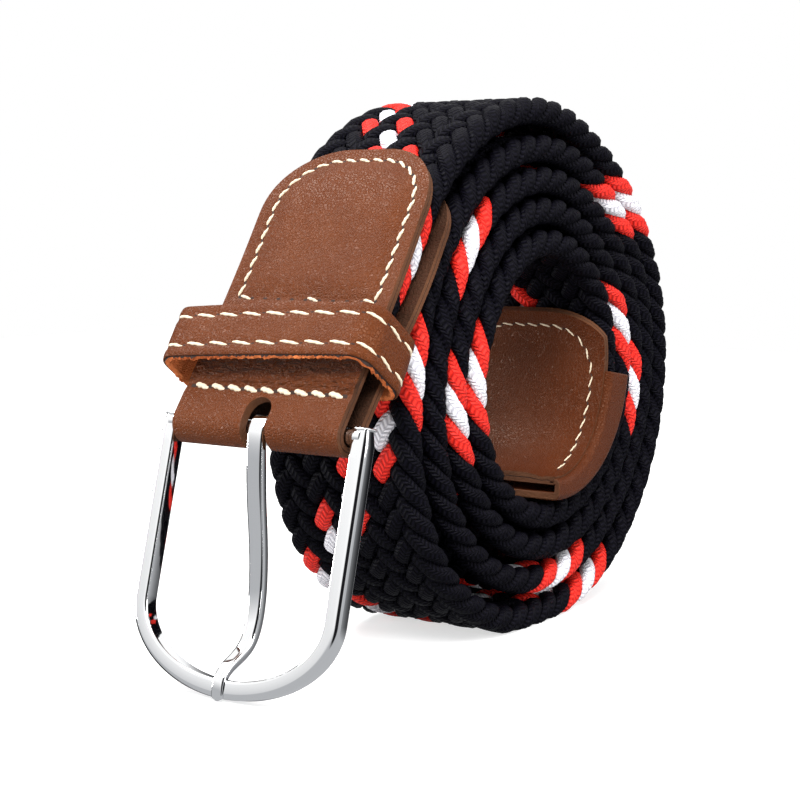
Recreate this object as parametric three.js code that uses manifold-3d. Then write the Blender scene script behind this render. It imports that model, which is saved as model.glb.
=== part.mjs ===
// Braided stretch belt with a leather buckle tab, rolled into a coil that stands on its edge.
// Millimetres, +Z up. The origin is on the floor under the middle of the coil, whose axis runs along Y.
// The belt leaves the coil on the -X side, where the buckle's end rests on the floor.
import * as THREE from "three";
import { mergeVertices } from "three/addons/utils/BufferGeometryUtils.js";
import Module from "manifold-3d";

// Space between pieces that touch on the real belt
const clearance = 0.3;

// Braided band and the coil it is rolled into
const bandWidth = 34.8;
const bandThickness = 5.6;
const bandEdgeRound = 2.6;
const coilRadius = 54;
const layerGap = 0.5;
const coilTelescope = 0.45; // how far each turn stands out towards -Y past the last
const restFlattening = 0.6;
const tabAngle = degrees(150); // where the tab leaves the coil
const coilSteps = 38; // stations in one turn
const bandStart = 0.42; // inside the tab, as a share of the way from the bar to the coil
const bandEndThickness = 1.6;
const bandInTab = [0, 0.2, 0.5, 0.8]; // its stations in the tab, as shares of the way to the coil

// Leather
const leather = 1.8;
const tabWidth = 37;
const flapCorner = 14.5;
const flapReach = 0.05; // turns that the tab's two flaps follow the coil past the tangent point
const tabLean = degrees(54); // slope of the tab where it meets the bar
const tabBow = 0.36; // how stiffly the tab leaves both of its ends, as a share of its length
const tabThin = 0.1; // up to this share of its length the flaps lie close together
const tabFull = 0.95; // from this share on they lie a full band apart
const tabSteps = 10;
const foldSteps = 10;
const cornerSteps = 6;

// Keeper loop
const keeperHeight = 10.5;
const keeperTilt = degrees(3.5); // its far end hangs lower
const keeperLeather = 1.8;
const keeperSpread = 2.8; // side room between the tab's edge and the loop
const keeperStandOff = 2.8; // room between the front flap and the loop
const keeperCorner = 1.8;
const keeperPlace = 0.37; // along the tab, from the bar to the coil
const keeperShift = 2.1; // it has slid towards the far edge
const keeperFullAt = 0.65; // its back clears the tab as it is this many loop heights further up

// Leather cover of the belt's inner end
const tipLeather = 1.6;
const tipWall = 1.3;
const tipSeam = 0.02; // how much finer the flap is where it runs into the sheath
const tipStart = 4.335; // turns from the tab to the top of the inner flap
const tipWallStart = 4.44;
const tipEnd = 4.68;
const tipSlot = 1;
const bandEnd = 4.6;
const tipSteps = 60; // stations in one turn

// Buckle
const barRadius = 1.6;
const barStandOff = 16.4; // out from the coil to the bar
const frameWidth = 46;
const frameReach = 47.4;
const frameLean = degrees(74.9); // it hangs with its rounded end on the floor
const frameLimb = 3.3;
const frameDepth = 3.2;
const frameBevel = 0.7;
const frameHeel = 1.7; // how far the arms run on past the bar
const frameArch = 15.5; // length of the rounded end
const notchDepth = 0.9;
const prongWidth = 3.6;
const prongTipWidth = 2.4;
const prongThickness = 2;
const prongEye = 1.3; // thickness of the eye round the bar
const prongBow = 5.4;
const eyeStart = degrees(-70);
const eyeTurn = degrees(252); // how far the eye goes round the bar
const eyeSteps = 9;
const slotWidth = 5.6;
const slotReach = 4.4; // above the bar, in both flaps

// The coil, from the tab inwards. layers counts the layers outside this one, and flaps counts the
// leather flaps that push it further in.
const coilSections = [
  { turn: 0, layers: -0.23, flaps: 0 },
  { turn: 0.06, layers: -0.13, flaps: 0 },
  { turn: 0.17, layers: 0.08, flaps: 0 },
  { turn: 0.26, layers: 0.34, flaps: 0 },
  { turn: 0.42, layers: -0.26, flaps: 0 },
  { turn: 0.55, layers: -0.28, flaps: 0 },
  { turn: 0.667, layers: -0.04, flaps: 0 },
  { turn: 0.715, layers: -0.22, flaps: 0 },
  { turn: 0.8, layers: -0.2, flaps: 0 },
  { turn: 0.87, layers: 0.24, flaps: 0 },
  { turn: 0.92, layers: 0.6, flaps: 0.3 },
  { turn: 1, layers: 0.79, flaps: 1 },
  { turn: 1.06, layers: 0.9, flaps: 1 },
  { turn: 1.17, layers: 1.1, flaps: 0.6 },
  { turn: 1.26, layers: 1.32, flaps: 0.2 },
  { turn: 1.42, layers: 0.95, flaps: 0.1 },
  { turn: 1.667, layers: 1.12, flaps: 0 },
  { turn: 1.8, layers: 1.2, flaps: 0 },
  { turn: 1.9, layers: 1.66, flaps: 0.1 },
  { turn: 2, layers: 1.82, flaps: 1 },
  { turn: 2.17, layers: 2.14, flaps: 0.6 },
  { turn: 2.26, layers: 2.34, flaps: 0.2 },
  { turn: 2.42, layers: 2, flaps: 0.1 },
  { turn: 2.667, layers: 2.22, flaps: 0 },
  { turn: 2.9, layers: 2.72, flaps: 0.1 },
  { turn: 3, layers: 2.88, flaps: 0.9 },
  { turn: 3.17, layers: 3.17, flaps: 0.5 },
  { turn: 3.26, layers: 3.36, flaps: 0.2 },
  { turn: 3.42, layers: 3.06, flaps: 0.1 },
  { turn: 3.667, layers: 3.28, flaps: 0 },
  { turn: 3.9, layers: 3.76, flaps: 0.1 },
  { turn: 4, layers: 3.94, flaps: 0.85 },
  { turn: 4.17, layers: 4.22, flaps: 0.5 },
  { turn: 4.26, layers: 4.3, flaps: 0.4 },
  { turn: 4.42, layers: 4.08, flaps: 1 },
  { turn: 4.667, layers: 4.3, flaps: 1 },
  { turn: 4.9, layers: 4.76, flaps: 1.1 },
];

// The prong from its eye to its tip, seen from the side. along is a share of frameReach, out a share
// of prongBow, and wide goes from 1 at the eye to 0 at the tip.
const prongSections = [
  { along: 0.13, out: 0.2, wide: 1 },
  { along: 0.26, out: -0.1, wide: 0.95 },
  { along: 0.42, out: -0.56, wide: 0.85 },
  { along: 0.58, out: -0.9, wide: 0.7 },
  { along: 0.7, out: -1, wide: 0.55 },
  { along: 0.8, out: -0.84, wide: 0.4 },
];

// Its hooked tip. past counts limbs past the inner edge of the frame's end, out counts prong
// thicknesses from where the tip rests, and thick is a share of prongThickness.
const tipSections = [
  { past: -1.09, out: -1.6, wide: 0.25, thick: 0.9 },
  { past: -0.36, out: -0.05, wide: 0.18, thick: 0.8 },
  { past: 0.15, out: 0.25, wide: 0.12, thick: 0.65 },
  { past: 0.6, out: 0.05, wide: 0.05, thick: 0.5 },
  { past: 1.12, out: -0.05, wide: 0, thick: 0.35 },
];

const layerPitch = bandThickness + layerGap;
const flapRoom = leather + 2 * clearance - layerGap;
const axisHeight = coilRadius - restFlattening;

const leatherBrown = new THREE.MeshStandardMaterial({ color: 0x7e4429, roughness: 0.5, metalness: 0 });
const navyBraid = new THREE.MeshStandardMaterial({ color: 0x171a29, roughness: 0.85, metalness: 0 });
const chrome = new THREE.MeshStandardMaterial({ color: 0xd8dadc, roughness: 0.12, metalness: 1 });

function degrees(angle) {
  return THREE.MathUtils.degToRad(angle);
}

function mix(from, to, share) {
  return from + (to - from) * share;
}

// Goes smoothly through a table's rows, between the two that stand either side of the given turn.
function readSection(turn, column) {
  const last = coilSections.length - 1;
  const next = Math.max(1, coilSections.findIndex((row, i) => i === last || row.turn > turn));
  const rows = [next - 2, next - 1, next, next + 1].map(
    (i) => coilSections[THREE.MathUtils.clamp(i, 0, last)],
  );
  const span = rows[2].turn - rows[1].turn;
  const slopeIn = (rows[2][column] - rows[0][column]) / Math.max(rows[2].turn - rows[0].turn, span);
  const slopeOut = (rows[3][column] - rows[1][column]) / Math.max(rows[3].turn - rows[1].turn, span);
  const t = (turn - rows[1].turn) / span;
  const ease = t * t * (3 - 2 * t);
  return (
    mix(rows[1][column], rows[2][column], ease) +
    span * (slopeIn * t * (1 - t) ** 2 - slopeOut * t * t * (1 - t))
  );
}

// A station is a point on the band's outer face, with the direction that faces out of the coil.
function coilPoint(turn) {
  const radius =
    coilRadius - readSection(turn, "layers") * layerPitch - readSection(turn, "flaps") * flapRoom;
  const angle = tabAngle - turn * 2 * Math.PI;
  return new THREE.Vector2(radius * Math.cos(angle), axisHeight + radius * Math.sin(angle));
}

function coilStation(turn) {
  const step = 0.004;
  const travel = coilPoint(turn + step).sub(coilPoint(turn - step)).normalize();
  return {
    point: coilPoint(turn),
    facing: new THREE.Vector2(-travel.y, travel.x),
    shift: -coilTelescope * Math.max(turn, 0),
    thick: bandThickness,
  };
}

// The tab runs in one easy curve from the bar to the point where it meets the coil.
const frameBack = frameDepth / 2 - frameBevel;
const bar = new THREE.Vector2(
  -(coilRadius + barStandOff),
  frameReach * Math.sin(frameLean) + frameBack * Math.cos(frameLean),
);
const tabMeetsCoil = coilStation(0);
const tabCurve = makeTabCurve();

function makeTabCurve() {
  const alongBar = new THREE.Vector2(Math.cos(tabLean), Math.sin(tabLean));
  const outOfBar = new THREE.Vector2(-alongBar.y, alongBar.x);
  const start = bar.clone().addScaledVector(outOfBar, barRadius);
  const end = tabMeetsCoil.point;
  const alongCoil = new THREE.Vector2(tabMeetsCoil.facing.y, -tabMeetsCoil.facing.x);
  const handle = tabBow * start.distanceTo(end);
  return new THREE.CubicBezierCurve(
    start,
    start.clone().addScaledVector(alongBar, handle),
    end.clone().addScaledVector(alongCoil, -handle),
    end,
  );
}

// share runs from 0 at the bar to 1 at the coil. The sandwich thins towards the bar.
function tabStation(share) {
  const travel = tabCurve.getTangent(share);
  const fill = THREE.MathUtils.smoothstep(share, tabThin, tabFull);
  return {
    point: tabCurve.getPoint(share),
    facing: new THREE.Vector2(-travel.y, travel.x),
    shift: 0,
    thick: mix(2 * barRadius, bandThickness, fill),
  };
}

// A solid swept through sections. Each section has its point and its facing direction, and corners
// as { across, out }, across along Y and out along the facing direction.
function sweep(sections) {
  const positions = [];
  for (const { point, facing, shift, corners } of sections) {
    for (const { across, out } of corners) {
      positions.push(point.x + facing.x * out, across + shift, point.y + facing.y * out);
    }
  }
  const count = sections[0].corners.length;
  const faces = [];
  for (let i = 0; i + 1 < sections.length; i++) {
    for (let j = 0; j < count; j++) {
      const a = i * count + j;
      const b = i * count + ((j + 1) % count);
      faces.push(a, b + count, b, a, a + count, b + count);
    }
  }
  const end = (sections.length - 1) * count;
  const outline = sections[0].corners.map(({ across, out }) => new THREE.Vector2(-across, out));
  for (const [a, b, c] of THREE.ShapeUtils.triangulateShape(outline, [])) {
    faces.push(a, b, c, end + a, end + c, end + b);
  }
  const geometry = new THREE.BufferGeometry();
  geometry.setAttribute("position", new THREE.Float32BufferAttribute(positions, 3));
  geometry.setIndex(faces);
  return geometry;
}

function boxCorners(low, high, near, far) {
  return [
    { across: near, out: low },
    { across: near, out: high },
    { across: far, out: high },
    { across: far, out: low },
  ];
}

// A section with round edges, its outer face at out = 0.
function bandCorners(thickness) {
  const corners = [];
  const stepsInQuarter = 2;
  const half = thickness / 2;
  for (const side of [-1, 1]) {
    for (let i = 0; i <= 2 * stepsInQuarter; i++) {
      const angle = (side * (i - stepsInQuarter) * Math.PI) / (2 * stepsInQuarter);
      corners.push({
        across: side * (bandWidth / 2 - bandEdgeRound + bandEdgeRound * Math.cos(angle)),
        out: -half + half * Math.sin(angle),
      });
    }
  }
  return corners.reverse();
}

// Half the width of a flap at a distance from its rounded end
function flapHalf(distance, width) {
  const left = Math.max(flapCorner - distance, 0);
  return width / 2 - flapCorner + Math.sqrt(Math.max(flapCorner ** 2 - left ** 2, 0));
}

// Distances from a flap's end that draw its corners round
function cornerDistances(steps) {
  return range(0, steps).map((i) => flapCorner * (1 - Math.cos((i * Math.PI) / (2 * steps))));
}

function range(from, to) {
  return Array.from({ length: to - from + 1 }, (_, i) => from + i);
}

// Length of a whole turn at the radius that the coil has at the given turn
function turnLength(turn) {
  return 2 * Math.PI * coilPoint(turn).distanceTo(new THREE.Vector2(0, axisHeight));
}

// Meshes to closed solids and back, for cuts and joins
const wasm = await Module();
wasm.setup();

function toSolid(geometry) {
  const bare = new THREE.BufferGeometry();
  bare.setAttribute("position", geometry.getAttribute("position"));
  if (geometry.index) bare.setIndex(geometry.index);
  const merged = mergeVertices(bare, 1e-3);
  return new wasm.Manifold(
    new wasm.Mesh({
      numProp: 3,
      vertProperties: new Float32Array(merged.attributes.position.array),
      triVerts: new Uint32Array(merged.index.array),
    }),
  );
}

function toGeometry(solid) {
  const mesh = solid.getMesh();
  const geometry = new THREE.BufferGeometry();
  geometry.setAttribute("position", new THREE.BufferAttribute(mesh.vertProperties, 3));
  geometry.setIndex(new THREE.BufferAttribute(mesh.triVerts, 1));
  geometry.computeVertexNormals();
  return geometry;
}

function piece(name, geometry, material) {
  const mesh = new THREE.Mesh(geometry, material);
  mesh.name = name;
  return mesh;
}

// The band starts inside the tab, follows the coil inwards and thins into the tip's cover. It is
// flat where it stands on the floor.
function makeBand() {
  const inTab = bandInTab.map((t) => {
    const station = tabStation(mix(bandStart, 1, t));
    return { ...station, thick: station.thick - 2 * (1 - t) * clearance };
  });
  const steps = Math.round(bandEnd * coilSteps);
  const inCoil = range(0, steps).map((i) => {
    const turn = (i * bandEnd) / steps;
    const thinning = THREE.MathUtils.smoothstep(turn, tipWallStart, bandEnd);
    return { ...coilStation(turn), thick: mix(bandThickness, bandEndThickness, thinning) };
  });
  const stations = [...inTab, ...inCoil];
  const band = sweep(stations.map((s) => ({ ...s, corners: bandCorners(s.thick) })));
  const floor = new THREE.BoxGeometry(4 * coilRadius, 2 * bandWidth, coilRadius);
  floor.translate(0, 0, -coilRadius / 2);
  return toGeometry(toSolid(band).subtract(toSolid(floor)));
}

// Front flap, fold round the bar and back flap in one strip, with the prong's slot in the fold
function makeTab() {
  const flap = (station, distance, side) => {
    const half = flapHalf(distance, tabWidth);
    const low = side > 0 ? clearance : station.thick + clearance;
    return {
      point: station.point,
      facing: station.facing.clone().multiplyScalar(side),
      shift: 0,
      corners: boxCorners(low, low + leather, -half, half),
    };
  };
  const end = flapReach * 2 * Math.PI * coilRadius;
  const onCoil = cornerDistances(cornerSteps).map((distance) => ({
    station: coilStation(Math.max(flapReach - distance / turnLength(flapReach), 0)),
    distance,
  }));
  const flat = range(1, tabSteps).map((i) => ({
    station: tabStation(1 - i / tabSteps),
    distance: end + i * coilRadius,
  }));
  const stations = [...onCoil, ...flat];
  const back = stations.map((s) => flap(s.station, s.distance, -1));
  const front = stations.map((s) => flap(s.station, s.distance, 1)).reverse();
  const facing = tabStation(0).facing;
  const inner = barRadius + clearance;
  const fold = range(1, foldSteps - 1).map((i) => ({
    point: bar,
    facing: facing.clone().rotateAround(new THREE.Vector2(), Math.PI * (1 - i / foldSteps)),
    shift: 0,
    corners: boxCorners(inner, inner + leather, -tabWidth / 2, tabWidth / 2),
  }));
  const strip = toSolid(sweep([...back, ...fold, ...front]));
  return toGeometry(strip.subtract(toSolid(makeSlot())));
}

// A slot with round ends, cut from the fold up both flaps
function makeSlot() {
  const thickness = 4 * (barRadius + leather + clearance);
  const shape = new THREE.Shape();
  const radius = slotWidth / 2;
  shape.moveTo(-radius, -thickness);
  shape.lineTo(radius, -thickness);
  shape.lineTo(radius, slotReach - radius);
  shape.absarc(0, slotReach - radius, radius, 0, Math.PI, false);
  const slot = new THREE.ExtrudeGeometry(shape, {
    depth: thickness,
    bevelEnabled: false,
    curveSegments: 8,
  });
  slot.translate(0, 0, -thickness / 2);
  slot.applyMatrix4(placeAt(bar, tabLean));
  return slot;
}

// Puts local X along Y, local Y along the given slope and local Z square to both, facing -X.
function placeAt(point, slope) {
  const matrix = new THREE.Matrix4().makeBasis(
    new THREE.Vector3(0, -1, 0),
    new THREE.Vector3(Math.cos(slope), 0, Math.sin(slope)),
    new THREE.Vector3(-Math.sin(slope), 0, Math.cos(slope)),
  );
  return matrix.setPosition(point.x, 0, point.y);
}

// A closed leather loop round the tab, with room in front of the flap for the strap's free end
function makeKeeper() {
  const station = tabStation(keeperPlace);
  const slope = Math.atan2(-station.facing.x, station.facing.y);
  const halfWide = tabWidth / 2 + keeperSpread;
  const front = clearance + leather + keeperStandOff;
  const fullest = tabStation(keeperPlace + (keeperFullAt * keeperHeight) / tabCurve.getLength()).thick;
  const back = -(fullest + 4 * clearance + leather);
  const shape = roundedRectangle(
    halfWide + keeperLeather,
    front + keeperLeather,
    back - keeperLeather,
    keeperLeather,
  );
  shape.holes.push(roundedRectangle(halfWide, front, back, 0));
  const loop = new THREE.ExtrudeGeometry(shape, {
    depth: keeperHeight,
    bevelEnabled: false,
    curveSegments: 5,
  });
  loop.translate(0, 0, -keeperHeight / 2);
  loop.rotateX(-Math.PI / 2);
  loop.rotateZ(keeperTilt);
  loop.applyMatrix4(placeAt(station.point, slope));
  return loop.translate(0, keeperShift, 0);
}

// Corners grow by the wall's thickness, so that the wall keeps its thickness round them.
function roundedRectangle(half, top, bottom, wall) {
  const radius = keeperCorner + wall;
  const shape = new THREE.Shape();
  shape.moveTo(-half + radius, -top);
  shape.lineTo(half - radius, -top);
  shape.absarc(half - radius, -top + radius, radius, -Math.PI / 2, 0, false);
  shape.lineTo(half, -bottom - radius);
  shape.absarc(half - radius, -bottom - radius, radius, 0, Math.PI / 2, false);
  shape.lineTo(-half + radius, -bottom);
  shape.absarc(-half + radius, -bottom - radius, radius, Math.PI / 2, Math.PI, false);
  shape.lineTo(-half, -top + radius);
  shape.absarc(-half + radius, -top + radius, radius, Math.PI, 1.5 * Math.PI, false);
  return shape;
}

// Inner and outer flap over the band's end, joined by a wall along the near edge
function makeTip() {
  const turns = range(0, Math.round((tipEnd - tipStart) * tipSteps)).map(
    (i) => tipStart + i / tipSteps,
  );
  const tipHalf = bandWidth / 2 + clearance + tipWall;
  const sandwich = (turn) =>
    mix(bandThickness, tipSlot, THREE.MathUtils.smoothstep(turn, tipWallStart, tipEnd)) + 2 * clearance;
  const strip = (from, to, section) =>
    toSolid(
      sweep(
        turns
          .filter((turn) => turn >= from && turn <= to)
          .map((turn) => ({ ...coilStation(turn), corners: section(turn) })),
      ),
    );
  const flap = (turn) => {
    const half = flapHalf((turn - tipStart) * turnLength(tipStart), 2 * tipHalf) - tipSeam;
    const high = clearance - sandwich(turn) - tipSeam;
    return boxCorners(high - tipLeather + 2 * tipSeam, high, -half, half);
  };
  const sheath = (turn) => {
    const inside = clearance - sandwich(turn);
    const outside = clearance + tipLeather;
    const wall = -tipHalf + tipWall;
    return [
      { across: -tipHalf, out: inside - tipLeather },
      { across: -tipHalf, out: outside },
      { across: tipHalf, out: outside },
      { across: tipHalf, out: clearance },
      { across: wall, out: clearance },
      { across: wall, out: inside },
      { across: tipHalf, out: inside },
      { across: tipHalf, out: inside - tipLeather },
    ];
  };
  const overlap = 2 / tipSteps;
  return toGeometry(
    strip(tipWallStart, tipEnd, sheath).add(strip(tipStart, tipWallStart + overlap, flap)),
  );
}

// In the frame's own coordinates X runs along the bar, Y from the rounded end up to the bar, and Z
// out of the front.
function placeFrame() {
  return placeAt(bar, frameLean);
}

function makeFrame() {
  const half = frameWidth / 2 - frameBevel;
  const inside = frameWidth / 2 - frameLimb + frameBevel;
  const bend = -(frameReach - frameArch);
  const shape = new THREE.Shape();
  shape.moveTo(half, frameHeel - frameBevel);
  shape.lineTo(inside, frameHeel - frameBevel);
  shape.lineTo(inside, bend);
  shape.absellipse(0, bend, inside, frameArch - frameLimb + frameBevel, 0, Math.PI, true);
  shape.lineTo(-inside, frameHeel - frameBevel);
  shape.lineTo(-half, frameHeel - frameBevel);
  shape.lineTo(-half, bend);
  shape.absellipse(0, bend, half, frameArch - frameBevel, Math.PI, 2 * Math.PI, false);
  const ring = new THREE.ExtrudeGeometry(shape, {
    depth: frameDepth - 2 * frameBevel,
    bevelThickness: frameBevel,
    bevelSize: frameBevel,
    bevelSegments: 1,
    curveSegments: 20,
  });
  ring.translate(0, 0, frameBevel - frameDepth / 2);
  const rod = new THREE.CylinderGeometry(barRadius, barRadius, frameWidth - frameLimb, 12);
  rod.rotateZ(Math.PI / 2);
  const notch = new THREE.CylinderGeometry(prongTipWidth, prongTipWidth, 2 * frameArch, 12);
  notch.translate(0, -frameReach, frameDepth / 2 + prongTipWidth - notchDepth);
  const solid = toSolid(ring).add(toSolid(rod)).subtract(toSolid(notch));
  return toGeometry(solid).applyMatrix4(placeFrame());
}

// The prong's eye goes round the bar. Its tip lies in the notch at the frame's end.
function makeProng() {
  const eyeMiddle = barRadius + clearance + prongEye / 2;
  const tipOut = frameDepth / 2 - notchDepth + clearance + prongThickness / 4;
  const opening = frameReach - frameLimb;
  const eye = range(0, eyeSteps).map((i) => {
    const angle = eyeStart + (i / eyeSteps) * eyeTurn;
    return {
      along: -eyeMiddle * Math.sin(angle),
      out: -eyeMiddle * Math.cos(angle),
      wide: 1,
      thick: prongEye,
    };
  });
  const shank = prongSections.map((row) => ({
    along: row.along * frameReach,
    out: row.out * prongBow,
    wide: row.wide,
    thick: prongThickness,
  }));
  const tip = tipSections.map((row) => ({
    along: opening + row.past * frameLimb,
    out: tipOut + row.out * prongThickness,
    wide: row.wide,
    thick: row.thick * prongThickness,
  }));
  const rows = [...eye, ...shank, ...tip];
  const sections = rows.map((row, i) => {
    const before = rows[Math.max(i - 1, 0)];
    const after = rows[Math.min(i + 1, rows.length - 1)];
    const travel = new THREE.Vector2(after.out - before.out, before.along - after.along).normalize();
    const half = mix(prongTipWidth, prongWidth, row.wide) / 2;
    return {
      point: new THREE.Vector2(row.out, -row.along),
      facing: new THREE.Vector2(-travel.y, travel.x),
      shift: 0,
      corners: boxCorners(-row.thick / 2, row.thick / 2, -half, half),
    };
  });
  const prong = sweep(sections);
  // From the side view's X and Z to the frame's Z and Y
  prong.applyMatrix4(
    new THREE.Matrix4().makeBasis(
      new THREE.Vector3(0, 0, 1),
      new THREE.Vector3(1, 0, 0),
      new THREE.Vector3(0, 1, 0),
    ),
  );
  return prong.applyMatrix4(placeFrame());
}

const belt = new THREE.Group();
belt.add(piece("braided_band", makeBand(), navyBraid));
belt.add(piece("buckle_tab", makeTab(), leatherBrown));
belt.add(piece("keeper_loop", makeKeeper(), leatherBrown));
belt.add(piece("tip_cover", makeTip(), leatherBrown));
belt.add(piece("buckle_frame", makeFrame(), chrome));
belt.add(piece("buckle_prong", makeProng(), chrome));

export default belt;
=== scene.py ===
import math

import bpy
import numpy as np
from mathutils import Matrix, Vector


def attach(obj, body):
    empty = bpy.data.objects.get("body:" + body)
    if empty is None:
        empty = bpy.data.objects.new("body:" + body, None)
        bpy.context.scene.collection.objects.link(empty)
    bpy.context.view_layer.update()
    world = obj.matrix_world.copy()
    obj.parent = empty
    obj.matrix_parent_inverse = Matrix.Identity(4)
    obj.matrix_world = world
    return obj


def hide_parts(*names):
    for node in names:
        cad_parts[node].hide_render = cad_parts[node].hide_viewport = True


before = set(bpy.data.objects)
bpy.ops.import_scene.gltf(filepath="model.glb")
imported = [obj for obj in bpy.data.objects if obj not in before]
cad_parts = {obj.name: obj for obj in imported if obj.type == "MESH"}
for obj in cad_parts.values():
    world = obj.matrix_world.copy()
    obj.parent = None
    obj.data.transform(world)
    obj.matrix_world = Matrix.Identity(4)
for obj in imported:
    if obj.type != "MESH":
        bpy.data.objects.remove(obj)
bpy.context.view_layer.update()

# Lengths in this file are in millimetres. Meshes are scaled to metres when they are made.
mm = 0.001

coil = {
    "radius": 54.0,
    "axisHeight": 53.4,
    "startAngle": 150.0,
    "layerPitch": 6.1,
    "flapRoom": 1.9,
    "telescope": 0.45,
    "bandThickness": 5.6,
    "bandWidth": 34.8,
    "lastTurn": 4.6,
    "endThickness": 1.6,
    "thinsFrom": 4.44,
}

# The rolled belt from the tab inwards: turn, layers outside this one, leather flaps outside it
coilRows = np.array([
    (0, -0.23, 0), (0.06, -0.13, 0), (0.17, 0.08, 0), (0.26, 0.34, 0), (0.42, -0.26, 0),
    (0.55, -0.28, 0), (0.667, -0.04, 0), (0.715, -0.22, 0), (0.8, -0.2, 0), (0.87, 0.24, 0),
    (0.92, 0.6, 0.3),
    (1, 0.79, 1), (1.06, 0.9, 1), (1.17, 1.1, 0.6), (1.26, 1.32, 0.2), (1.42, 0.95, 0.1),
    (1.667, 1.12, 0), (1.8, 1.2, 0), (1.9, 1.66, 0.1), (2, 1.82, 1), (2.17, 2.14, 0.6),
    (2.26, 2.34, 0.2), (2.42, 2, 0.1), (2.667, 2.22, 0), (2.9, 2.72, 0.1), (3, 2.88, 0.9),
    (3.17, 3.17, 0.5), (3.26, 3.36, 0.2), (3.42, 3.06, 0.1), (3.667, 3.28, 0), (3.9, 3.76, 0.1),
    (4, 3.94, 0.85), (4.17, 4.22, 0.5), (4.26, 4.3, 0.4), (4.42, 4.08, 1), (4.667, 4.3, 1),
    (4.9, 4.76, 1.1),
])

tab = {
    "bar": (-70.4, 46.0),
    "barRadius": 1.6,
    "lean": 54.0,
    "bow": 0.36,
    "thinUntil": 0.1,
    "fullFrom": 0.95,
    "bandStart": 0.42,
    "leather": 1.8,
    "gap": 0.3,
    "width": 37.0,
    "corner": 14.5,
    "reach": 0.05,
    "slotWidth": 5.6,
    "slotReach": 4.4,
    "stitchInset": 3.0,
    "crossRow": 24.8,
    "lowRow": 5.6,
    "creaseEnd": 15.0,
    "crown": 0.55,
}

camera = {
    "azimuth": -55.48,
    "elevation": 6.06,
    "distance": 361.05,
    "right": -16.16,
    "up": -8.36,
    "lens": 77.75,
}


def smooth(x, low, high):
    t = np.clip((np.asarray(x, float) - low) / (high - low), 0, 1)
    return t * t * (3 - 2 * t)


def unit(v):
    return v / np.linalg.norm(v, axis=-1, keepdims=True)


# Camera
def placeCamera(values):
    turn = math.radians(values["azimuth"])
    lift = math.radians(values["elevation"])
    back = Vector((math.sin(turn) * math.cos(lift), -math.cos(turn) * math.cos(lift), math.sin(lift)))
    right = Vector((math.cos(turn), math.sin(turn), 0))
    up = back.cross(right)
    place = Vector((0, 0, coil["axisHeight"])) + back * values["distance"]
    place += right * values["right"] + up * values["up"]
    view = bpy.data.objects.new("photo camera", bpy.data.cameras.new("photo camera"))
    view.data.lens = values["lens"]
    view.data.sensor_width = 36
    view.data.clip_start = 0.01
    view.location = place * mm
    view.rotation_euler = Matrix((right, up, back)).transposed().to_euler()
    bpy.context.scene.collection.objects.link(view)
    bpy.context.scene.camera = view


placeCamera(camera)


# Node helpers
def addNode(tree, kind, inputs=None, **settings):
    node = tree.nodes.new(kind)
    for name, value in settings.items():
        setattr(node, name, value)
    for name, value in (inputs or {}).items():
        if isinstance(value, bpy.types.NodeSocket):
            tree.links.new(value, node.inputs[name])
        else:
            node.inputs[name].default_value = value
    return node


def maths(tree, operation, a, b=0.0):
    return addNode(tree, "ShaderNodeMath", {0: a, 1: b}, operation=operation).outputs[0]


def ramp(tree, value, low, high, toLow=0.0, toHigh=1.0):
    node = addNode(tree, "ShaderNodeMapRange", {
        "Value": value, "From Min": low, "From Max": high, "To Min": toLow, "To Max": toHigh,
    })
    return node.outputs["Result"]


def vectorMaths(tree, operation, a, b):
    return addNode(tree, "ShaderNodeVectorMath", {0: a, 1: b}, operation=operation).outputs[0]


def noise(tree, place, scale, detail, distortion=0.0):
    values = {"Vector": place, "Scale": scale, "Detail": detail, "Distortion": distortion}
    return addNode(tree, "ShaderNodeTexNoise", values)


def mixColour(tree, factor, a, b):
    node = addNode(tree, "ShaderNodeMix", data_type="RGBA")
    for index, value in ((0, factor), (6, a), (7, b)):
        if isinstance(value, bpy.types.NodeSocket):
            tree.links.new(value, node.inputs[index])
        else:
            node.inputs[index].default_value = value
    return node.outputs[2]


def newGroup(name, inputs, outputs):
    tree = bpy.data.node_groups.new(name, "ShaderNodeTree")
    for title, kind, value in inputs:
        socket = tree.interface.new_socket(title, in_out="INPUT", socket_type=kind)
        if value is not None:
            socket.default_value = value
    for title, kind in outputs:
        tree.interface.new_socket(title, in_out="OUTPUT", socket_type=kind)
    return tree, tree.nodes.new("NodeGroupInput"), tree.nodes.new("NodeGroupOutput")


def newMaterial(name, **values):
    material = bpy.data.materials.new(name)
    material.use_nodes = True
    tree = material.node_tree
    surface = tree.nodes["Principled BSDF"]
    for title, value in values.items():
        surface.inputs[title].default_value = value
    return material, tree, surface


def addBump(tree, surface, height, distance):
    bump = addNode(tree, "ShaderNodeBump", {"Height": height, "Distance": distance * mm})
    tree.links.new(bump.outputs["Normal"], surface.inputs["Normal"])


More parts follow.
